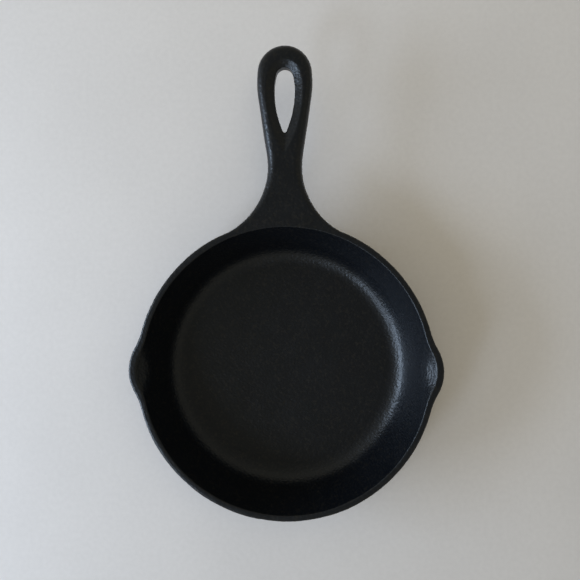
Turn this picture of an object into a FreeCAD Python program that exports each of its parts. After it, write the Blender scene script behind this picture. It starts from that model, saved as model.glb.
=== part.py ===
import FreeCAD, Part
import math
import os
import Sketcher
from FreeCAD import Placement, Rotation, Vector

# One-piece cast iron skillet: a shallow round pan with two pour spouts and a cast-on
# handle with a teardrop hanging hole.
# Frame: millimetres, +Z up, origin at the centre of the flat underside of the pan,
# +Y towards the handle, spouts at +X and -X. The casting is symmetric about X = 0.
# Every angle is in degrees. "Upright" is the Z axis.

SIZES = [
    ("rim_radius", 82.5, "outer radius of the rim where it is widest"),
    ("rim_height", 36, "rim above the surface the pan stands on"),
    ("rim_land", 3.4, "width of the flat top of the rim"),
    ("rim_outer_round", 1.4, "round on the outer edge of the rim"),
    ("rim_inner_round", 0.6, "round on the inner edge of the rim"),
    ("floor_thickness", 4, "iron under the cooking surface"),
    ("outer_wall_angle", 19.7, "lean of the wall's outside from upright"),
    ("inner_wall_angle", 18.7, "lean of the wall's inside from upright"),
    ("base_round", 9, "outside round from base to wall"),
    ("floor_round", 12.5, "inside round from floor to wall"),
    ("trim_allowance", 4, "height modelled above the rim and then trimmed flat"),
    ("spout_centre", 61.7, "upright axis of each spout's nose, from the pan's axis"),
    ("spout_radius", 25, "outer radius of the nose where it is widest"),
    ("spout_wall", 3.8, "thickness of the nose at rim height"),
    ("spout_angle", 28, "lean of the nose from upright"),
    ("spout_depth", 24, "how far the nose reaches below the rim"),
    ("scoop_angle", 41, "lean of the nose's inside from upright"),
    ("scoop_depth", 17, "how far the nose's inside reaches below the rim"),
    ("spout_outer_blend", 32, "outside round between nose and wall"),
    ("spout_inner_blend", 17, "inside round between scoop and wall"),
    ("flare_radius", 41.5, "hollow sides where the handle widens into the rim"),
    ("flare_bite", 0.15, "how far inside the rim's widest circle the flares come to touch"),
    ("neck_half_width", 9.5, "half the narrowest width of the handle"),
    ("taper_angle", 8.53, "spread of each side from the neck to the head"),
    ("head_side_radius", 60, "bulging sides of the head"),
    ("tip_radius", 14.9, "round end of the handle"),
    ("tip_reach", 178.2, "end of the handle from the pan's axis"),
    ("level_reach", 84, "where the handle's top leaves rim height, from the pan's axis"),
    ("bend_radius", 150, "upward bend of the handle's top after that"),
    ("rise_angle", 3.4, "rise of the handle from level"),
    ("handle_thickness", 9, "thickness of the handle, square to its top"),
    ("keel_radius", 72, "curve of the underside across the handle"),
    ("rim_edge_round", 1.4, "round on the handle's top edge where it leaves the rim"),
    ("neck_edge_round", 5, "round on the top edge of the neck"),
    ("head_edge_round", 4.5, "round on the top edge of the head"),
    ("rim_under_round", 0.4, "round on the handle's lower edge where it leaves the rim"),
    ("neck_under_round", 2.5, "round on the lower edge from neck to tip"),
    ("root_round", 5, "hollow round under the middle of the handle, where it meets the wall"),
    ("root_end_round", 0.5, "the same round at the ends of the flares"),
    ("hole_half_width", 5.65, "half the widest part of the hanging hole"),
    ("hole_widest", 154, "place of its widest part"),
    ("hole_end", 166.1, "end of the hole near the tip"),
    ("hole_end_radius", 4.7, "radius of that end"),
    ("hole_point", 131, "pointed end of the hole"),
    ("hole_point_radius", 1.2, "radius of that point"),
    ("bevel_half_width", 10.1, "half the widest part of the bevel round the hole"),
    ("bevel_widest", 154, "place of its widest part"),
    ("bevel_end", 170, "end of the bevel near the tip"),
    ("bevel_end_radius", 9, "radius of that end"),
    ("bevel_point", 120, "pointed end of the bevel"),
    ("bevel_point_radius", 0.8, "radius of that point"),
    ("bevel_depth", 2.4, "depth of the upper bevel at the hole"),
    ("under_bevel_depth", 1.6, "depth of the lower bevel at the hole"),
    ("cutter_clearance", 5, "how far each cutter stands out of the iron"),
]

TINY = 1e-4
# The handle's top edges lie closer than this to its straight top line, and its lower edges don't.
TOP_EDGE_SLACK = 0.5


def make_sheet(doc):
    """The sheet of driving dimensions: name, value and meaning, one to a row."""
    sheet = doc.addObject("Spreadsheet::Sheet", "Size")
    for row, (alias, value, meaning) in enumerate(SIZES, start=1):
        sheet.set(f"A{row}", alias)
        sheet.set(f"B{row}", str(value))
        sheet.set(f"C{row}", meaning)
        sheet.setAlias(f"B{row}", alias)
    doc.recompute()
    return sheet


def measure(doc, expression):
    """The number that an expression over the sheet stands for."""
    return float(doc.Size.evalExpression(expression))


def polar(centre, radius, degrees):
    """The point at a radius and angle from a centre, in a sketch's own plane."""
    angle = math.radians(degrees)
    return centre + Vector(math.cos(angle), math.sin(angle), 0) * radius


def origin_feature(body, role):
    """The body's own origin plane or axis with this role."""
    return next(f for f in body.Origin.OriginFeatures if f.Role == role)


def new_body(doc, name):
    body = doc.addObject("PartDesign::Body", name)
    body.Label = name
    return body


def new_sketch(body, name, role, offset=None):
    """A sketch on one of the body's origin planes, moved along its normal by an expression."""
    sketch = body.newObject("Sketcher::SketchObject", name)
    sketch.AttachmentSupport = [(origin_feature(body, role), "")]
    sketch.MapMode = "FlatFace"
    if offset:
        sketch.setExpression("AttachmentOffset.Base.z", offset)
    return sketch


def add_line(sketch, start, end):
    return sketch.addGeometry(Part.LineSegment(start, end), False)


def add_arc(sketch, centre, radius, start, end):
    """An anticlockwise arc between two angles in degrees."""
    circle = Part.Circle(centre, Vector(0, 0, 1), radius)
    arc = Part.ArcOfCircle(circle, math.radians(start), math.radians(end))
    return sketch.addGeometry(arc, False)


def join(sketch, *ends):
    """Makes pairs of (geometry, end) points coincide."""
    for first, second in ends:
        sketch.addConstraint(Sketcher.Constraint("Coincident", *first, *second))


def join_smoothly(sketch, *ends):
    """Makes pairs of (geometry, end) points coincide and their curves tangent there."""
    for first, second in ends:
        sketch.addConstraint(Sketcher.Constraint("Tangent", *first, *second))


def size(sketch, kind, *where, value):
    """Adds a sized constraint and binds it to an expression over the sheet."""
    start = measure(sketch.Document, value)
    if kind == "Angle":
        start = math.radians(start)
    index = sketch.addConstraint(Sketcher.Constraint(kind, *where, start))
    sketch.setExpression(f"Constraints[{index}]", value)


# Sketcher's names for a curve's ends and for a sketch's own axes.
START, END, CENTRE = 1, 2, 3
ACROSS, UP = -1, -2
ORIGIN = (ACROSS, START)


def bowl_section(body, floor, corner, wall, rim):
    """Half section of a round bowl, past rim height: floor, corner round, leaning wall, top, axis.
    floor, corner, wall and rim are expressions: floor level, corner radius, lean, rim radius."""
    doc = body.Document
    sketch = new_sketch(body, "Section_" + body.Name, "XZ_Plane")
    top = "(Size.rim_height + Size.trim_allowance)"
    reach = f"{rim} + Size.trim_allowance * tan({wall})"
    lean = measure(doc, wall)
    radius = measure(doc, corner)
    level = measure(doc, floor)
    foot = measure(doc, f"{rim} - (Size.rim_height - {floor}) * tan({wall})")
    flat = foot - radius * math.tan(math.radians((90 - lean) / 2))
    corner_centre = Vector(flat, level + radius, 0)
    inner_low = Vector(0, level, 0)
    inner_high = Vector(0, measure(doc, top), 0)
    lip = Vector(measure(doc, reach), inner_high.y, 0)
    base = add_line(sketch, inner_low, Vector(flat, level, 0))
    round_ = add_arc(sketch, corner_centre, radius, -90, -lean)
    side = add_line(sketch, polar(corner_centre, radius, -lean), lip)
    lid = add_line(sketch, lip, inner_high)
    axis = add_line(sketch, inner_high, inner_low)
    join_smoothly(sketch, ((base, END), (round_, START)), ((round_, END), (side, START)))
    join(sketch, ((side, END), (lid, START)), ((lid, END), (axis, START)), ((axis, END), (base, START)))
    sketch.addConstraint(Sketcher.Constraint("Horizontal", base))
    sketch.addConstraint(Sketcher.Constraint("Horizontal", lid))
    sketch.addConstraint(Sketcher.Constraint("PointOnObject", base, START, UP))
    sketch.addConstraint(Sketcher.Constraint("PointOnObject", lid, END, UP))
    size(sketch, "DistanceY", *ORIGIN, lid, START, value=top)
    size(sketch, "DistanceY", base, START, lid, END, value=f"{top} - {floor}")
    size(sketch, "DistanceX", *ORIGIN, side, END, value=reach)
    size(sketch, "Angle", side, value=f"90 - {wall}")
    size(sketch, "Radius", round_, value=corner)
    return sketch


def add_nose(body, side, radius, lean, depth):
    """One spout's nose: an upright cone that narrows downwards into the bowl.
    side is 1 at +X and -1 at -X. radius, lean and depth are expressions for its radius at rim height,
    its lean from upright and how far it reaches below the rim."""
    nose = body.newObject("PartDesign::AdditiveCone", "Nose")
    nose.setExpression("Radius1", f"{radius} - {depth} * tan({lean})")
    nose.setExpression("Radius2", f"{radius} + Size.trim_allowance * tan({lean})")
    nose.setExpression("Height", f"{depth} + Size.trim_allowance")
    nose.setExpression("Placement.Base.x", f"{side} * Size.spout_centre")
    nose.setExpression("Placement.Base.z", f"Size.rim_height - {depth}")


def edge_names(shape, wanted):
    """Names of the edges of a shape for which wanted(edge) is true."""
    return [f"Edge{number}" for number, edge in enumerate(shape.Edges, start=1) if wanted(edge)]


def add_round(body, name, wanted, radius):
    """Rounds the chosen edges of the body's last feature, and moves its tip to the result."""
    base = body.Tip
    fillet = body.newObject("PartDesign::Fillet", name)
    fillet.Base = (base, edge_names(base.Shape, wanted))
    fillet.setExpression("Radius", radius)
    body.Document.recompute()


def spouted_bowl(doc, name, floor, corner, wall, rim, nose, lean, depth, blend):
    """A solid bowl with a nose on each side, blended into the wall, standing past rim height."""
    body = new_body(doc, name)
    turned = body.newObject("PartDesign::Revolution", "Turned_" + name)
    turned.Profile = bowl_section(body, floor, corner, wall, rim)
    turned.ReferenceAxis = (origin_feature(body, "Z_Axis"), [""])
    turned.Angle = 360
    for side in (1, -1):
        add_nose(body, side, nose, lean, depth)
    doc.recompute()
    half_depth = measure(doc, f"{depth} / 2")

    def climbs_beside_nose(edge):
        curved = not isinstance(edge.Curve, Part.Line)
        return curved and edge.BoundBox.ZLength > half_depth

    add_round(body, "Blend_" + name, climbs_beside_nose, blend)
    # Turned surfaces have their seams at the body's own +X, which goes to the half that isn't kept.
    body.Placement = Placement(Vector(0, 0, 0), Rotation(Vector(0, 0, 1), 180))
    return body


def trim_at_rim(body):
    """Cuts away everything above rim height."""
    sketch = new_sketch(body, "Trim", "XY_Plane", "Size.rim_height")
    disc = Part.Circle(Vector(0, 0, 0), Vector(0, 0, 1), measure(body.Document, "2 * Size.rim_radius"))
    circle = sketch.addGeometry(disc, False)
    sketch.addConstraint(Sketcher.Constraint("Coincident", circle, CENTRE, *ORIGIN))
    size(sketch, "Radius", circle, value="2 * Size.rim_radius")
    pocket = body.newObject("PartDesign::Pocket", "TrimmedAtRim")
    pocket.Profile = sketch
    pocket.Type = "ThroughAll"
    pocket.Reversed = True
    body.Document.recompute()


def corner_beyond(lean):
    """How far the sharp corner of a leaning wall's top lies outside the widest place of its round."""
    return f"Size.rim_outer_round * (tan({lean}) + 1 / cos({lean}) - 1)"


def make_pan_blank(doc):
    """The outside of the pan as a solid, with its rounded rim."""
    body = spouted_bowl(
        doc,
        "pan_blank",
        floor="0",
        corner="Size.base_round",
        wall="Size.outer_wall_angle",
        rim=f"(Size.rim_radius + {corner_beyond('Size.outer_wall_angle')})",
        nose=f"(Size.spout_radius + {corner_beyond('Size.spout_angle')})",
        lean="Size.spout_angle",
        depth="Size.spout_depth",
        blend="Size.spout_outer_blend",
    )
    trim_at_rim(body)
    rim_height = measure(doc, "Size.rim_height")
    add_round(
        body,
        "RimOuterRound",
        lambda edge: edge.BoundBox.ZMin > rim_height - TINY,
        "Size.rim_outer_round",
    )
    return body


def make_hollow(doc):
    """The space inside the pan as a solid, standing past rim height."""
    return spouted_bowl(
        doc,
        "cooking_hollow",
        floor="Size.floor_thickness",
        corner="Size.floor_round",
        wall="Size.inner_wall_angle",
        rim="(Size.rim_radius - Size.rim_land)",
        nose="(Size.spout_radius - Size.spout_wall)",
        lean="Size.scoop_angle",
        depth="Size.scoop_depth",
        blend="Size.spout_inner_blend",
    )


def pin_symmetric(sketch, *pairs):
    """Makes pairs of (geometry, end) points mirror images in the sketch's upright axis."""
    for first, second in pairs:
        sketch.addConstraint(Sketcher.Constraint("Symmetric", *first, *second, UP))


class PlanPoints:
    """Centres and joints of the right half of the handle's outline, seen from above."""

    def __init__(self, doc):
        origin = Vector(0, 0, 0)
        self.rim = measure(doc, "Size.rim_radius - Size.flare_bite")
        self.flare = measure(doc, "Size.flare_radius")
        self.side = measure(doc, "Size.head_side_radius")
        self.tip = measure(doc, "Size.tip_radius")
        self.taper = measure(doc, "Size.taper_angle")
        flare_x = measure(doc, "Size.neck_half_width + Size.flare_radius")
        self.flare_centre = Vector(flare_x, math.sqrt((self.rim + self.flare) ** 2 - flare_x**2), 0)
        self.touch_angle = math.degrees(math.atan2(self.flare_centre.y, self.flare_centre.x))
        self.touch = polar(origin, self.rim, self.touch_angle)
        self.neck = polar(self.flare_centre, self.flare, 180 - self.taper)
        self.tip_centre = Vector(0, measure(doc, "Size.tip_reach - Size.tip_radius"), 0)
        # The side's centre lies one side radius inside the taper line, where its circle touches the tip's.
        along = polar(origin, 1, 90 - self.taper)
        foot = polar(self.neck, self.side, 180 - self.taper)
        back = foot - self.tip_centre
        gap = math.sqrt(back.dot(along) ** 2 - back.dot(back) + (self.side - self.tip) ** 2)
        self.side_centre = foot - along * (back.dot(along) + gap)
        self.head = polar(self.side_centre, self.side, -self.taper)
        to_tip = self.tip_centre - self.side_centre
        self.tip_angle = math.degrees(math.atan2(to_tip.y, to_tip.x))
        self.root = Vector(measure(doc, "Size.rim_radius / 3"), measure(doc, "Size.rim_radius / 2"), 0)


def mirrored(point):
    return Vector(-point.x, point.y, point.z)


def handle_plan(body):
    """Right half of the handle's outline from above: round tip, bulging head, straight taper, a
    hollow flare that runs into the rim, and an end inside the pan's hollow."""
    sketch = new_sketch(body, "Plan", "XY_Plane")
    at = PlanPoints(body.Document)
    tip = Vector(0, at.tip_centre.y + at.tip, 0)
    foot = Vector(0, at.root.y, 0)
    inner_end = add_line(sketch, at.root, at.touch)
    flare = add_arc(sketch, at.flare_centre, at.flare, 180 - at.taper, 180 + at.touch_angle)
    taper = add_line(sketch, at.neck, at.head)
    side = add_arc(sketch, at.side_centre, at.side, -at.taper, at.tip_angle)
    tip_arc = add_arc(sketch, at.tip_centre, at.tip, at.tip_angle, 90)
    middle = add_line(sketch, tip, foot)
    closing = add_line(sketch, foot, at.root)
    rim_circle = sketch.addGeometry(Part.Circle(Vector(0, 0, 0), Vector(0, 0, 1), at.rim), True)
    join_smoothly(
        sketch,
        ((flare, START), (taper, START)),
        ((taper, END), (side, START)),
        ((side, END), (tip_arc, START)),
    )
    join(
        sketch,
        ((inner_end, END), (flare, END)),
        ((tip_arc, END), (middle, START)),
        ((middle, END), (closing, START)),
        ((closing, END), (inner_end, START)),
        ((rim_circle, CENTRE), ORIGIN),
    )
    sketch.addConstraint(Sketcher.Constraint("Tangent", flare, END, rim_circle))
    sketch.addConstraint(Sketcher.Constraint("Horizontal", closing))
    for corner in ((tip_arc, CENTRE), (middle, START), (middle, END)):
        sketch.addConstraint(Sketcher.Constraint("PointOnObject", *corner, UP))
    size(sketch, "Radius", rim_circle, value="Size.rim_radius - Size.flare_bite")
    size(sketch, "Radius", flare, value="Size.flare_radius")
    size(sketch, "Radius", side, value="Size.head_side_radius")
    size(sketch, "Radius", tip_arc, value="Size.tip_radius")
    size(sketch, "DistanceX", *ORIGIN, flare, CENTRE, value="Size.neck_half_width + Size.flare_radius")
    size(sketch, "DistanceY", *ORIGIN, tip_arc, CENTRE, value="Size.tip_reach - Size.tip_radius")
    size(sketch, "Angle", taper, value="90 - Size.taper_angle")
    size(sketch, "DistanceX", *ORIGIN, inner_end, START, value="Size.rim_radius / 3")
    size(sketch, "DistanceY", *ORIGIN, inner_end, START, value="Size.rim_radius / 2")
    return sketch


def handle_side_view(body):
    """Outline of the space under the handle's top, in the YZ plane: the top leaves the rim level,
    bends up and rises straight."""
    doc = body.Document
    sketch = new_sketch(body, "SideView", "YZ_Plane")
    level = measure(doc, "Size.rim_height")
    bend = measure(doc, "Size.bend_radius")
    rise = measure(doc, "Size.rise_angle")
    far = measure(doc, "Size.tip_reach + Size.cutter_clearance")
    bend_centre = Vector(measure(doc, "Size.level_reach"), level + bend, 0)
    bend_end = polar(bend_centre, bend, rise - 90)
    far_top = Vector(far, bend_end.y + (far - bend_end.x) * measure(doc, "tan(Size.rise_angle)"), 0)
    near_top = Vector(0, level, 0)
    near_low = Vector(0, 0, 0)
    far_low = Vector(far, 0, 0)

    level_top = add_line(sketch, near_top, Vector(bend_centre.x, level, 0))
    bend_arc = add_arc(sketch, bend_centre, bend, -90, rise - 90)
    rising_top = add_line(sketch, bend_end, far_top)
    far_end = add_line(sketch, far_top, far_low)
    underside = add_line(sketch, far_low, near_low)
    near_end = add_line(sketch, near_low, near_top)
    join_smoothly(sketch, ((level_top, END), (bend_arc, START)), ((bend_arc, END), (rising_top, START)))
    join(
        sketch,
        ((rising_top, END), (far_end, START)),
        ((far_end, END), (underside, START)),
        ((underside, END), (near_end, START)),
        ((near_end, END), (level_top, START)),
        ((underside, END), ORIGIN),
    )
    for line in (level_top, underside):
        sketch.addConstraint(Sketcher.Constraint("Horizontal", line))
    for line in (far_end, near_end):
        sketch.addConstraint(Sketcher.Constraint("Vertical", line))
    size(sketch, "Radius", bend_arc, value="Size.bend_radius")
    size(sketch, "Angle", rising_top, value="Size.rise_angle")
    size(sketch, "DistanceY", *ORIGIN, level_top, START, value="Size.rim_height")
    size(sketch, "DistanceX", *ORIGIN, level_top, END, value="Size.level_reach")
    size(sketch, "DistanceX", *ORIGIN, rising_top, END, value="Size.tip_reach + Size.cutter_clearance")
    return sketch


def handle_front_view(body):
    """Outline of the handle from the front, in a frame whose level is the handle's rising top: a
    curved underside, which thins the flares towards their ends, and plain sides clear of the iron."""
    doc = body.Document
    sketch = new_sketch(body, "FrontView", "XZ_Plane")
    radius = measure(doc, "Size.keel_radius")
    half = measure(doc, "Size.rim_radius / 2")
    centre = Vector(0, radius - measure(doc, "Size.handle_thickness"), 0)
    reach = math.degrees(math.asin(half / radius))
    low = polar(centre, radius, reach - 90)
    high = Vector(half, measure(doc, "Size.rim_height"), 0)
    keel = add_arc(sketch, centre, radius, -90 - reach, reach - 90)
    right = add_line(sketch, low, high)
    lid = add_line(sketch, high, mirrored(high))
    left = add_line(sketch, mirrored(high), mirrored(low))
    join(
        sketch,
        ((keel, END), (right, START)),
        ((right, END), (lid, START)),
        ((lid, END), (left, START)),
        ((left, END), (keel, START)),
    )
    for line in (right, left):
        sketch.addConstraint(Sketcher.Constraint("Vertical", line))
    sketch.addConstraint(Sketcher.Constraint("PointOnObject", keel, CENTRE, UP))
    pin_symmetric(sketch, ((lid, START), (lid, END)))
    size(sketch, "Radius", keel, value="Size.keel_radius")
    size(sketch, "DistanceY", *ORIGIN, keel, CENTRE, value="Size.keel_radius - Size.handle_thickness")
    size(sketch, "DistanceX", *ORIGIN, lid, START, value="Size.rim_radius / 2")
    size(sketch, "DistanceY", *ORIGIN, lid, START, value="Size.rim_height")
    return sketch


# Where the handle's rising top, carried back as a straight line, meets the pan's axis.
RISING_TOP_AT_AXIS = (
    "Size.rim_height - Size.level_reach * tan(Size.rise_angle)"
    " + Size.bend_radius * (1 - 1 / cos(Size.rise_angle))"
)


def tilt_with_handle(body):
    """Places the body so that its own XY plane is the handle's rising top."""
    height = measure(body.Document, RISING_TOP_AT_AXIS)
    rise = measure(body.Document, "Size.rise_angle")
    body.Placement = Placement(Vector(0, 0, height), Rotation(Vector(1, 0, 0), rise))


def add_pad(body, name, sketch, length, midplane=False):
    pad = body.newObject("PartDesign::Pad", name)
    pad.Profile = sketch
    pad.Midplane = midplane
    pad.setExpression("Length", length)
    return pad


def between(value, stations):
    """Straight-line interpolation between (place, value) stations, level beyond the ends."""
    if value <= stations[0][0]:
        return stations[0][1]
    for (low, at_low), (high, at_high) in zip(stations, stations[1:]):
        if value <= high:
            return at_low + (at_high - at_low) * (value - low) / (high - low)
    return stations[-1][1]


def top_edges(doc, shape):
    """Edges along the handle's top, by their level."""
    rim_height = measure(doc, "Size.rim_height")
    level_reach = measure(doc, "Size.level_reach")
    rise = measure(doc, "tan(Size.rise_angle)")

    def at_top(edge):
        middle = edge.valueAt((edge.FirstParameter + edge.LastParameter) / 2)
        return rim_height + max(0, middle.y - level_reach) * rise - middle.z < TOP_EDGE_SLACK

    return [edge for edge in shape.Edges if at_top(edge)]


def keel_edges(doc, shape):
    """Edges of the handle's curved underside, which is the only face of its radius."""
    radius = measure(doc, "Size.keel_radius")
    for face in shape.Faces:
        if isinstance(face.Surface, Part.Cylinder) and abs(face.Surface.Radius - radius) < TINY:
            return face.Edges
    raise ValueError("the handle has lost its curved underside")


def edge_number(shape, wanted):
    """The number by which a fillet knows this edge of a shape."""
    return next(number for number, edge in enumerate(shape.Edges, start=1) if edge.isSame(wanted))


def round_edges(base, name, rounds):
    """Rounds an object's edges. rounds holds (edge, first radius, last radius)."""
    fillet = base.Document.addObject("Part::Fillet", name)
    fillet.Base = base
    fillet.Edges = [(edge_number(base.Shape, edge), first, last) for edge, first, last in rounds]
    base.Document.recompute()
    return fillet


def round_along(base, name, edges, stations):
    """Rounds those edges that run along the half handle outside the rim, as one chain. The radius
    changes along the handle, as (distance from the pan's axis, radius) stations say."""
    start = stations[0][0] - TINY

    def on_outline(edge):
        box = edge.BoundBox
        return box.YMin > start and box.YLength > TINY and box.XLength > TINY

    chain = [edge for edge in edges if on_outline(edge)]
    # The chain takes its direction from its first edge, and the radii of every edge follow it.
    leader = chain[0]
    outward = leader.valueAt(leader.FirstParameter).y < leader.valueAt(leader.LastParameter).y
    rounds = []
    for edge in chain:
        near = between(edge.BoundBox.YMin, stations)
        far = between(edge.BoundBox.YMax, stations)
        rounds.append((edge, near, far) if outward else (edge, far, near))
    return round_edges(base, name, rounds)


def combine(doc, kind, name, first, second):
    """A boolean of two objects: kind is Part::Fuse, Part::Cut or Part::Common."""
    result = doc.addObject(kind, name)
    result.Base = first
    result.Tool = second
    if kind != "Part::Common":
        result.Refine = True
    doc.recompute()
    return result


def make_right_handle(doc):
    """The right half of the solid handle: its three outlines in common, with rounded edges."""
    outline = new_body(doc, "handle_outline")
    add_pad(outline, "OutlinePad", handle_plan(outline), "2 * Size.rim_height")
    profile = new_body(doc, "handle_profile")
    add_pad(profile, "ProfilePad", handle_side_view(profile), "2 * Size.rim_radius", midplane=True)
    front = new_body(doc, "handle_front")
    add_pad(front, "FrontPad", handle_front_view(front), "3 * Size.tip_reach", midplane=True)
    tilt_with_handle(front)
    doc.recompute()
    slab = combine(doc, "Part::Common", "handle_slab", outline, profile)
    square = combine(doc, "Part::Common", "handle_square", slab, front)
    at = PlanPoints(doc)
    above = [
        (at.touch.y, measure(doc, "Size.rim_edge_round")),
        (at.neck.y, measure(doc, "Size.neck_edge_round")),
        (at.head.y, measure(doc, "Size.head_edge_round")),
    ]
    below = [
        (at.touch.y, measure(doc, "Size.rim_under_round")),
        (at.neck.y, measure(doc, "Size.neck_under_round")),
    ]
    crowned = round_along(square, "handle_crowned", top_edges(doc, square.Shape), above)
    return round_along(crowned, "handle_right", keel_edges(doc, crowned.Shape), below)


def right_half(doc, whole, name):
    """The part of an object on the +X side."""
    box = doc.addObject("Part::Box", "RightSide")
    box.setExpression("Length", "2 * Size.rim_radius")
    box.setExpression("Width", "4 * Size.rim_radius")
    box.setExpression("Height", "2 * Size.rim_height")
    box.setExpression("Placement.Base.y", "-2 * Size.rim_radius")
    doc.recompute()
    return combine(doc, "Part::Common", name, whole, box)


def is_root(shape, edge):
    """Whether the handle's curved underside meets the pan's leaning wall along this edge."""
    surfaces = [type(face.Surface) for face in shape.ancestorsOfType(edge, Part.Face)]
    return Part.Cone in surfaces and Part.Cylinder in surfaces


def join_handle(doc, pan, handle):
    """Right halves of pan and handle in one, with a hollow round under the handle's root."""
    joined = combine(doc, "Part::Fuse", "right_square_root", pan, handle)
    middle = measure(doc, "Size.root_round")
    end = measure(doc, "Size.root_end_round")
    rounds = []
    for edge in joined.Shape.Edges:
        if is_root(joined.Shape, edge):
            outward = edge.valueAt(edge.FirstParameter).x < edge.valueAt(edge.LastParameter).x
            rounds.append((edge, middle, end) if outward else (edge, end, middle))
    return round_edges(joined, "right_solid", rounds)


def with_mirror_image(doc, right, name):
    """An object and its mirror image across X = 0, in one."""
    left = doc.addObject("Part::Mirroring", "left_casting")
    left.Source = right
    left.Normal = Vector(1, 0, 0)
    doc.recompute()
    both = combine(doc, "Part::Fuse", name, right, left)
    both.Label = name
    return both


def teardrop(body, name, level, prefix):
    """A teardrop outline, level above the body's XY plane, with its point towards the pan.
    prefix is hole or bevel, and picks the sizes: half_width, widest, end, end_radius, point and
    point_radius."""
    doc = body.Document
    sketch = new_sketch(body, name, "XY_Plane", level)
    width = measure(doc, f"Size.{prefix}_half_width")
    widest = measure(doc, f"Size.{prefix}_widest")
    end_radius = measure(doc, f"Size.{prefix}_end_radius")
    point_radius = measure(doc, f"Size.{prefix}_point_radius")
    end_centre = Vector(0, measure(doc, f"Size.{prefix}_end") - end_radius, 0)
    point_centre = Vector(0, measure(doc, f"Size.{prefix}_point") + point_radius, 0)

    def side_radius(centre, radius):
        """Radius of the side arc that is upright at the widest place and touches an end circle."""
        return (width**2 + (centre.y - widest) ** 2 - radius**2) / (2 * (width - radius))

    outer = side_radius(end_centre, end_radius)
    inner = side_radius(point_centre, point_radius)
    outer_centre = Vector(width - outer, widest, 0)
    inner_centre = Vector(width - inner, widest, 0)
    end_angle = math.degrees(math.atan2(end_centre.y - widest, -outer_centre.x))
    point_angle = math.degrees(math.atan2(widest - point_centre.y, -inner_centre.x))

    right_outer = add_arc(sketch, outer_centre, outer, 0, end_angle)
    end_arc = add_arc(sketch, end_centre, end_radius, end_angle, 180 - end_angle)
    left_outer = add_arc(sketch, mirrored(outer_centre), outer, 180 - end_angle, 180)
    left_inner = add_arc(sketch, mirrored(inner_centre), inner, 180, 180 + point_angle)
    point_arc = add_arc(sketch, point_centre, point_radius, 180 + point_angle, 360 - point_angle)
    right_inner = add_arc(sketch, inner_centre, inner, -point_angle, 0)
    loop = (right_outer, end_arc, left_outer, left_inner, point_arc, right_inner)
    following = loop[1:] + loop[:1]
    join_smoothly(sketch, *[((one, END), (two, START)) for one, two in zip(loop, following)])
    for arc in (end_arc, point_arc):
        sketch.addConstraint(Sketcher.Constraint("PointOnObject", arc, CENTRE, UP))
    pin_symmetric(sketch, ((right_outer, START), (left_outer, END)))
    sketch.addConstraint(Sketcher.Constraint("Horizontal", right_outer, START, right_outer, CENTRE))
    sketch.addConstraint(Sketcher.Constraint("Horizontal", left_outer, END, left_outer, CENTRE))
    size(sketch, "Radius", end_arc, value=f"Size.{prefix}_end_radius")
    size(sketch, "Radius", point_arc, value=f"Size.{prefix}_point_radius")
    size(sketch, "DistanceY", *ORIGIN, end_arc, CENTRE, value=f"Size.{prefix}_end - Size.{prefix}_end_radius")
    size(
        sketch,
        "DistanceY",
        *ORIGIN,
        point_arc,
        CENTRE,
        value=f"Size.{prefix}_point + Size.{prefix}_point_radius",
    )
    size(sketch, "DistanceX", *ORIGIN, right_outer, START, value=f"Size.{prefix}_half_width")
    size(sketch, "DistanceY", *ORIGIN, right_outer, START, value=f"Size.{prefix}_widest")
    return sketch


def add_loft(body, name, first, second):
    loft = body.newObject("PartDesign::AdditiveLoft", name)
    loft.Profile = first
    loft.Sections = [second]
    loft.Ruled = True
    return loft


def make_hole_cutter(doc):
    """The space of the hanging hole and its two bevels. The body's own XY plane is the rising top of
    the handle, so it is tilted with it."""
    body = new_body(doc, "hanging_hole")
    clearance = "Size.cutter_clearance"
    thickness = "Size.handle_thickness"
    through = f"{thickness} + 2 * {clearance}"
    add_pad(body, "Through", teardrop(body, "HoleOutline", f"-({thickness} + {clearance})", "hole"), through)
    rim_of_bevel = teardrop(body, "UpperBevelRim", "0", "bevel")
    foot_of_bevel = teardrop(body, "UpperBevelFoot", "-Size.bevel_depth", "hole")
    add_loft(body, "UpperBevel", rim_of_bevel, foot_of_bevel)
    add_pad(body, "AboveBevel", teardrop(body, "AboveOutline", "0", "bevel"), clearance)
    foot_below = teardrop(body, "LowerBevelFoot", f"Size.under_bevel_depth - {thickness}", "hole")
    rim_below = teardrop(body, "LowerBevelRim", f"-{thickness}", "bevel")
    add_loft(body, "LowerBevel", rim_below, foot_below)
    below = teardrop(body, "BelowOutline", f"-({thickness} + {clearance})", "bevel")
    add_pad(body, "BelowBevel", below, clearance)
    tilt_with_handle(body)
    doc.recompute()
    return body


def round_inner_rim(iron, hollow, name):
    """Rounds the edge between the rim's flat top and the hollow."""
    doc = iron.Document
    radius = measure(doc, "Size.rim_inner_round")
    rim_height = measure(doc, "Size.rim_height")
    rounds = []
    for edge in iron.Shape.Edges:
        middle = edge.valueAt((edge.FirstParameter + edge.LastParameter) / 2)
        at_rim = edge.BoundBox.ZMin > rim_height - TINY and abs(middle.x) > TINY
        if at_rim and hollow.Shape.distToShape(Part.Vertex(middle))[0] < TINY:
            rounds.append((edge, radius, radius))
    return round_edges(iron, name, rounds)


# Names of objects before and after each cut.
CUTS = (
    ("Blend_pan_blank", "TrimmedAtRim"),
    ("right_solid", "right_opened"),
    ("right_opened", "right_bored"),
)


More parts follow.
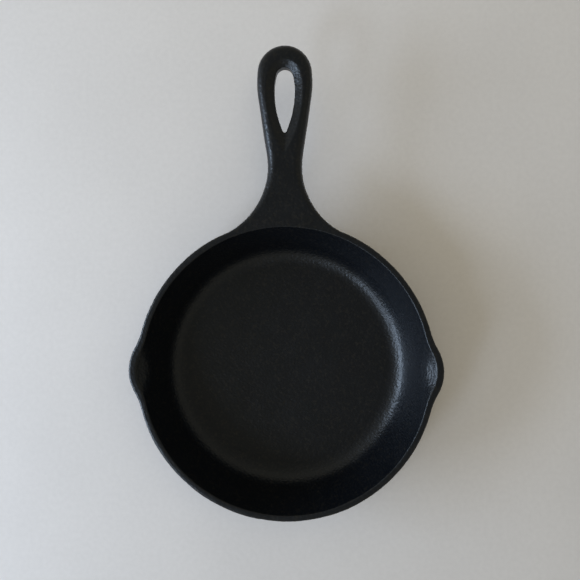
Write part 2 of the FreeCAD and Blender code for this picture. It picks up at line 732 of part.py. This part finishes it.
def check(doc, casting):
    """Stops the build when a step failed or when a cut removed nothing."""
    for item in doc.Objects:
        if "Invalid" in item.State or "Error" in item.State:
            raise ValueError(f"{item.Name} is not valid: {item.State}")
    shape = casting.Shape
    if shape.isNull() or not shape.isValid() or len(shape.Solids) != 1:
        raise ValueError("the casting is not one valid solid")
    for before, after in CUTS:
        if doc.getObject(after).Shape.Volume >= doc.getObject(before).Shape.Volume:
            raise ValueError(f"{after} removed nothing")


def main():
    doc = FreeCAD.newDocument("skillet")
    make_sheet(doc)
    pan = right_half(doc, make_pan_blank(doc), "right_pan")
    solid = join_handle(doc, pan, make_right_handle(doc))
    hollow = make_hollow(doc)
    opened = combine(doc, "Part::Cut", "right_opened", solid, hollow)
    bored = combine(doc, "Part::Cut", "right_bored", opened, make_hole_cutter(doc))
    right = round_inner_rim(bored, hollow, "right_casting")
    casting = with_mirror_image(doc, right, "skillet_casting")
    check(doc, casting)
    os.makedirs("parts", exist_ok=True)
    casting.Shape.exportStep("parts/skillet_casting.step")


main()
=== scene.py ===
import math

import bmesh
import bpy
import numpy as np
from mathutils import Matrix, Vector
from mathutils.bvhtree import BVHTree


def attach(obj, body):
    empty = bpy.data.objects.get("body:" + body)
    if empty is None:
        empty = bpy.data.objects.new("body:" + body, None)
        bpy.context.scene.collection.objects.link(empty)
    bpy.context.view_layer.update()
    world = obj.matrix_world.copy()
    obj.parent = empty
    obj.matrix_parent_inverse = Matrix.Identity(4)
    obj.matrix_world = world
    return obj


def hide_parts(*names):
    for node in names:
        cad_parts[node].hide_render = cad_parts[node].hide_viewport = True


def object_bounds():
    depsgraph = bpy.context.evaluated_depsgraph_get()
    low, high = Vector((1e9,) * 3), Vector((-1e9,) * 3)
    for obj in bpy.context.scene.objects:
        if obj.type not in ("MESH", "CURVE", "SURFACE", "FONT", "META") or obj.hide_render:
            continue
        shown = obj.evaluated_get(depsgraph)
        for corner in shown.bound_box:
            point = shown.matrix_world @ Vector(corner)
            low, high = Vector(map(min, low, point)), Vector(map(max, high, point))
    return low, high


# A cast iron skillet on a pale table, seen from above. Lengths are in metres, in the frame of the CAD
# model: the pan stands on z = 0 round the Z axis, its handle points along +Y and its spouts along X.

MM = 0.001

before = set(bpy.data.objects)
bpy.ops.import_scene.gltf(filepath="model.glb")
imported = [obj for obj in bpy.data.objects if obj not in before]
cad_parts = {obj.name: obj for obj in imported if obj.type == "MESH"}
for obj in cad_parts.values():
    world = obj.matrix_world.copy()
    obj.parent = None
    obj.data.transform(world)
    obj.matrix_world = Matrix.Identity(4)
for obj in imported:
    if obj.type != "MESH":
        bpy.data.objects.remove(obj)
CAD_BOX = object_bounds()


# ---------------------------------------------------------------- camera

# Focal length and sensor width, in millimetres.
LENS = 36
SENSOR = 36
CAMERA_PLACE = (0.01786, 0.04172, 0.35314)
# Turns about X, Y and Z, in degrees, from looking straight down with +Y up.
CAMERA_TURNS = (0.493, 2.675, 0.05)


def add_camera():
    """A camera held by hand over the pan and the handle's neck, looking straight down but for a few
    degrees."""
    data = bpy.data.cameras.new("camera")
    data.lens = LENS
    data.sensor_width = SENSOR
    camera = bpy.data.objects.new("camera", data)
    camera.location = CAMERA_PLACE
    camera.rotation_euler = [math.radians(angle) for angle in CAMERA_TURNS]
    bpy.context.collection.objects.link(camera)
    bpy.context.scene.camera = camera


# ---------------------------------------------------------------- the casting's fine mesh

# Points of the CAD mesh nearer than this are one point.
WELD = 1e-7
# Edges that turn more than this stay sharp.
SHARP_TURN = math.radians(14)
# Size of the fine mesh's cells.
CELL = 0.5 * MM
# How much larger faces outweigh smaller ones in the corner normals; 50 is even.
FACE_WEIGHT = 80
# Share of the way from a flat triangle to the tangent planes at its corners.
ROUNDING = 0.75
# No point moves further than this from its flat triangle.
MOST_LIFT = 0.12 * MM
# The relief that the sand mould leaves: wavelength and height of its slow waves and of its grain.
RELIEF = ((25 * MM, 0.05 * MM), (3 * MM, 0.012 * MM), (1.5 * MM, 0.028 * MM))
# Waves of each kind, and how far their lengths spread about the kind's wavelength.
WAVES = 40
LENGTH_SPREAD = (0.7, 1.3)
RELIEF_SEED = 7


def applied(mesh, kind, settings):
    """A copy of a mesh with a modifier applied."""
    holder = bpy.data.objects.new("holder", mesh)
    bpy.context.collection.objects.link(holder)
    modifier = holder.modifiers.new(kind.lower(), kind)
    for name, value in settings.items():
        setattr(modifier, name, value)
    evaluated = holder.evaluated_get(bpy.context.evaluated_depsgraph_get())
    result = bpy.data.meshes.new_from_object(evaluated)
    bpy.data.objects.remove(holder)
    return result


def welded(cad_mesh):
    """The CAD mesh with its points joined, smooth but for its sharp edges. Large faces count more in
    the corner normals, so that flat faces stay flat up to their borders."""
    work = bmesh.new()
    work.from_mesh(cad_mesh)
    bmesh.ops.remove_doubles(work, verts=work.verts, dist=WELD)
    bmesh.ops.triangulate(work, faces=work.faces)
    mesh = bpy.data.meshes.new("welded")
    work.to_mesh(mesh)
    work.free()
    mesh.shade_smooth()
    mesh.set_sharp_from_angle(angle=SHARP_TURN)
    return applied(mesh, "WEIGHTED_NORMAL", {"mode": "FACE_AREA", "keep_sharp": True, "weight": FACE_WEIGHT})


def even_copy(mesh, cell):
    """An even fine mesh of the same solid."""
    return applied(mesh, "REMESH", {"mode": "VOXEL", "voxel_size": cell, "use_smooth_shade": True})


def read(items, name, width=3, kind=np.float64):
    """An attribute of every item of a Blender collection, as an array."""
    values = np.empty(len(items) * width, kind)
    items.foreach_get(name, values)
    return values.reshape(-1, width) if width > 1 else values


def barycentric(points, corners):
    """Barycentric weights of points in their triangles. corners is points x 3 x 3."""
    side_1 = corners[:, 1] - corners[:, 0]
    side_2 = corners[:, 2] - corners[:, 0]
    offset = points - corners[:, 0]
    d11 = np.einsum("ij,ij->i", side_1, side_1)
    d12 = np.einsum("ij,ij->i", side_1, side_2)
    d22 = np.einsum("ij,ij->i", side_2, side_2)
    o1 = np.einsum("ij,ij->i", offset, side_1)
    o2 = np.einsum("ij,ij->i", offset, side_2)
    scale = np.maximum(d11 * d22 - d12 * d12, 1e-30)
    second = np.clip((d22 * o1 - d12 * o2) / scale, 0, 1)
    third = np.clip((d11 * o2 - d12 * o1) / scale, 0, 1 - second)
    return np.stack([1 - second - third, second, third], axis=1)


def curved_onto(fine, coarse):
    """Moves each point of the fine mesh to the curved surface that the coarse mesh's triangles and
    corner normals stand for, so that no facet shows."""
    tree = BVHTree.FromPolygons(
        [v.co for v in coarse.vertices], [tuple(p.vertices) for p in coarse.polygons]
    )
    found = [tree.find_nearest(v.co) for v in fine.vertices]
    nearest = np.array([hit[0] for hit in found])
    triangle = np.array([hit[2] for hit in found])
    loops = read(coarse.loops, "vertex_index", 1, np.int32).reshape(-1, 3)
    points = read(coarse.vertices, "co")
    normals = read(coarse.corner_normals, "vector").reshape(-1, 3, 3)
    corners = points[loops[triangle]]
    corner_normals = normals[triangle]
    weights = barycentric(nearest, corners)
    above = np.einsum("pcj,pcj->pc", nearest[:, None, :] - corners, corner_normals)
    lift = -np.einsum("pc,pc,pcj->pj", weights, above, corner_normals)
    length = np.maximum(np.linalg.norm(lift, axis=1), 1e-12)
    lift *= (np.minimum(length, MOST_LIFT) / length)[:, None]
    fine.vertices.foreach_set("co", (nearest + ROUNDING * lift).ravel())
    fine.update()


def relief_height(points):
    """Height of the relief at each point: a sum of waves in all directions."""
    source = np.random.default_rng(RELIEF_SEED)
    total = np.zeros(len(points))
    for wavelength, height in RELIEF:
        directions = source.normal(size=(WAVES, 3))
        directions /= np.linalg.norm(directions, axis=1)[:, None]
        lengths = wavelength * source.uniform(*LENGTH_SPREAD, WAVES)
        phases = source.uniform(0, 2 * math.pi, WAVES)
        for direction, length, phase in zip(directions, lengths, phases):
            angle = points @ direction * 2 * math.pi / length + phase
            total += height * math.sqrt(2 / WAVES) * np.cos(angle)
    return total


def add_relief(mesh):
    """Moves the mesh's points along their normals by the relief. The pan's foot stays on the table."""
    points = read(mesh.vertices, "co")
    normals = read(mesh.vertex_normals, "vector")
    moved = points + relief_height(points)[:, None] * normals
    moved[:, 2] = np.maximum(moved[:, 2], CAD_BOX[0][2])
    mesh.vertices.foreach_set("co", moved.ravel())
    mesh.update()


def make_casting():
    """The pan's visible mesh: the CAD solid with its curves rounded and the relief of sand casting."""
    coarse = welded(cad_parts["skillet_casting"].data)
    fine = even_copy(coarse, CELL)
    curved_onto(fine, coarse)
    add_relief(fine)
    fine.name = "skillet"
    casting = bpy.data.objects.new("skillet", fine)
    bpy.context.collection.objects.link(casting)
    return casting


# ---------------------------------------------------------------- materials

def new_material(name):
    material = bpy.data.materials.new(name)
    material.use_nodes = True
    tree = material.node_tree
    return material, tree, tree.nodes["Principled BSDF"]


def add_noise(tree, scale, detail):
    """Noise in the object's own coordinates. scale is in waves per metre."""
    place = tree.nodes.new("ShaderNodeTexCoord")
    noise = tree.nodes.new("ShaderNodeTexNoise")
    noise.inputs["Scale"].default_value = scale
    noise.inputs["Detail"].default_value = detail
    tree.links.new(place.outputs["Object"], noise.inputs["Vector"])
    return noise.outputs["Fac"]


def add_range(tree, value, low, high, to_low, to_high):
    """Maps a value linearly from one range to another."""
    node = tree.nodes.new("ShaderNodeMapRange")
    for name, number in (("From Min", low), ("From Max", high), ("To Min", to_low), ("To Max", to_high)):
        node.inputs[name].default_value = number
    tree.links.new(value, node.inputs["Value"])
    return node.outputs["Result"]


# Nearly all of the noise's values are in this range.
NOISE_RANGE = (0.3, 0.7)


def add_spread_noise(tree, scale, detail, low, high):
    """Noise spread over the range from low to high."""
    return add_range(tree, add_noise(tree, scale, detail), *NOISE_RANGE, low, high)


def add_mix(tree, share, first, second):
    """A colour between two colours, each given as three numbers or as a node's output."""
    node = tree.nodes.new("ShaderNodeMix")
    node.data_type = "RGBA"
    tree.links.new(share, node.inputs["Factor"])
    for name, colour in (("A", first), ("B", second)):
        if isinstance(colour, bpy.types.NodeSocket):
            tree.links.new(colour, node.inputs[name])
        else:
            node.inputs[name].default_value = (*colour, 1)
    return node.outputs["Result"]


def add_bump(tree, height, distance):
    """A bump from a height. distance is the bump's depth where the height is 1."""
    node = tree.nodes.new("ShaderNodeBump")
    node.inputs["Distance"].default_value = distance
    tree.links.new(height, node.inputs["Height"])
    return node.outputs["Normal"]


def add_product(tree, first, second):
    """The product of two numbers."""
    node = tree.nodes.new("ShaderNodeMath")
    node.operation = "MULTIPLY"
    tree.links.new(first, node.inputs[0])
    tree.links.new(second, node.inputs[1])
    return node.outputs["Value"]


# Colours of the seasoning where it is thick and thin, and of the specks where the iron's grain shows.
THICK_COAT = (0.001, 0.0022, 0.0044)
THIN_COAT = (0.0018, 0.0028, 0.005)
SPECK = (0.008, 0.008, 0.008)
# Only the noise's high values are specks.
SPECK_RANGE = (0.52, 0.72)
# Lowest and highest roughness of the coat, and the depth of its finest grain.
COAT_ROUGHNESS = (0.31, 0.39)
GRAIN_DEPTH = 0.1 * MM
# Strength and tint of the coat's mirror reflection.
COAT_SHINE = 0.44
COAT_TINT = (0.87, 0.94, 0.98, 1)


def seasoned_iron():
    """Black seasoned iron: a satin coat over a fine sand-cast grain."""
    material, tree, shader = new_material("seasoned_iron")
    thinness = add_spread_noise(tree, 45, 4, 0, 1)
    coat = add_mix(tree, thinness, THICK_COAT, THIN_COAT)
    specks = add_range(tree, add_noise(tree, 600, 2), *SPECK_RANGE, 0, 1)
    colour = add_mix(tree, specks, coat, SPECK)
    tree.links.new(colour, shader.inputs["Base Color"])
    roughness = add_spread_noise(tree, 120, 6, *COAT_ROUGHNESS)
    tree.links.new(roughness, shader.inputs["Roughness"])
    grain = add_bump(tree, add_noise(tree, 900, 2), GRAIN_DEPTH)
    tree.links.new(grain, shader.inputs["Normal"])
    shader.inputs["Specular IOR Level"].default_value = COAT_SHINE
    shader.inputs["Specular Tint"].default_value = COAT_TINT
    return material


# The table's grey is painted light: paler towards -X and +Y, darker towards the opposite corner, a painted
# fall-off of the room's light. The direction, how far along it the change starts and ends in metres, and the
# two greys.
PAINTED_LIGHT_DIRECTION = (-1.0, 1.0, 0)
PAINTED_LIGHT_SPAN = (-0.25, 0.3)
SHADED_TABLE = (0.6, 0.6, 0.6)
LIT_TABLE = (0.7, 0.7, 0.7)
# How much the table's clouds and specks dim and brighten it.
CLOUDS = (0.97, 1.03)
TABLE_SPECKS = (0.98, 1.02)
TABLE_ROUGHNESS = 0.75


def table_top():
    """Pale matt table top with a painted fall-off of light across it, a little uneven in tone at random and
    finely speckled.
    """
    material, tree, shader = new_material("table_top")
    place = tree.nodes.new("ShaderNodeTexCoord")
    # Painted light: the grey goes from the shaded grey to the lit grey along a slant across the table.
    slant = tree.nodes.new("ShaderNodeVectorMath")
    slant.operation = "DOT_PRODUCT"
    slant.inputs[1].default_value = PAINTED_LIGHT_DIRECTION
    tree.links.new(place.outputs["Object"], slant.inputs[0])
    painted_light = add_range(tree, slant.outputs["Value"], *PAINTED_LIGHT_SPAN, 0, 1)
    painted_light_grey = add_mix(tree, painted_light, SHADED_TABLE, LIT_TABLE)
    clouds = add_spread_noise(tree, 9, 3, *CLOUDS)
    specks = add_spread_noise(tree, 350, 2, *TABLE_SPECKS)
    tone = tree.nodes.new("ShaderNodeVectorMath")
    tone.operation = "SCALE"
    tree.links.new(painted_light_grey, tone.inputs[0])
    tree.links.new(add_product(tree, clouds, specks), tone.inputs["Scale"])
    tree.links.new(tone.outputs["Vector"], shader.inputs["Base Color"])
    shader.inputs["Roughness"].default_value = TABLE_ROUGHNESS
    return material


# ---------------------------------------------------------------- floor and light

FLOOR_SIZE = 12
# The table is this far below the pan, so that the two surfaces don't coincide.
FLOOR_GAP = 0.05 * MM


def add_floor():
    bpy.ops.mesh.primitive_plane_add(size=FLOOR_SIZE, location=(0, 0, -FLOOR_GAP))
    floor = bpy.context.object
    floor.name = "floor"
    floor.data.materials.append(table_top())


# The lights face this point over the pan's floor.
LIT_POINT = Vector((0, 0.03, 0.02))
DAYLIGHT = (0.68, 0.8, 1.0)
ROOM_COLOUR = (1.0, 0.91, 0.74)


def add_light(name, azimuth, elevation, distance, width, height, power, colour, reflected=True):
    """A soft rectangular light. The azimuth turns from +X towards +Y; both angles are in degrees.
    A light that isn't reflected lights the table but leaves no glare on glossy surfaces."""
    data = bpy.data.lights.new(name, "AREA")
    data.shape = "RECTANGLE"
    data.size = width
    data.size_y = height
    data.energy = power
    data.color = colour
    turn = math.radians(azimuth)
    rise = math.radians(elevation)
    towards = Vector((math.cos(turn) * math.cos(rise), math.sin(turn) * math.cos(rise), math.sin(rise)))
    light = bpy.data.objects.new(name, data)
    light.location = LIT_POINT + distance * towards
    light.rotation_euler = towards.to_track_quat("Z", "Y").to_euler()
    light.visible_camera = False
    light.visible_glossy = reflected
    bpy.context.collection.objects.link(light)


def add_lights():
    """Two windows on the left and a broad ceiling."""
    add_light(
        "low_window", azimuth=190, elevation=21, distance=1.0, width=0.7, height=0.35, power=9.2,
        colour=DAYLIGHT,
    )
    add_light(
        "high_window", azimuth=224, elevation=38, distance=1.2, width=0.26, height=0.26, power=2.6,
        colour=DAYLIGHT,
    )
    add_light(
        "ceiling", azimuth=60, elevation=78, distance=1.5, width=1.2, height=1.2, power=4.7,
        colour=ROOM_COLOUR, reflected=False,
    )


# Strength of the room's light by the height of its direction, from level (0) to straight up (1).
ROOM_LIGHT = ((0.0, 0.25), (0.3, 0.34), (0.65, 0.42), (0.88, 0.26), (1.0, 0.23))

# The room is brighter where its direction points at the windows' side: the X of the directions where
# the change starts and ends, and the two factors.
SIDE_SPAN = (-0.8, 0.4)
SIDE_FACTORS = (1.25, 0.92)


def add_world():
    """The warm room: lit best halfway up, and a little brighter at the windows' side."""
    world = bpy.data.worlds.new("room")
    bpy.context.scene.world = world
    world.use_nodes = True
    tree = world.node_tree
    background = tree.nodes["Background"]
    place = tree.nodes.new("ShaderNodeTexCoord")
    split = tree.nodes.new("ShaderNodeSeparateXYZ")
    tree.links.new(place.outputs["Generated"], split.inputs["Vector"])
    ramp = tree.nodes.new("ShaderNodeValToRGB")
    steps = ramp.color_ramp.elements
    while len(steps) < len(ROOM_LIGHT):
        steps.new(1.0)
    for step, (height, strength) in zip(steps, ROOM_LIGHT):
        step.position = height
        step.color = (strength, strength, strength, 1)
    tree.links.new(split.outputs["Z"], ramp.inputs["Fac"])
    side = add_range(tree, split.outputs["X"], *SIDE_SPAN, *SIDE_FACTORS)
    strength = add_product(tree, ramp.outputs["Color"], side)
    tree.links.new(strength, background.inputs["Strength"])
    background.inputs["Color"].default_value = (*ROOM_COLOUR, 1)


# ---------------------------------------------------------------- scene


def main():
    bpy.context.scene.view_settings.view_transform = "Standard"
    add_camera()
    add_world()
    add_lights()
    add_floor()
    casting = make_casting()
    casting.data.materials.clear()
    casting.data.materials.append(seasoned_iron())
    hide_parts("skillet_casting")
    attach(casting, "root")


main()
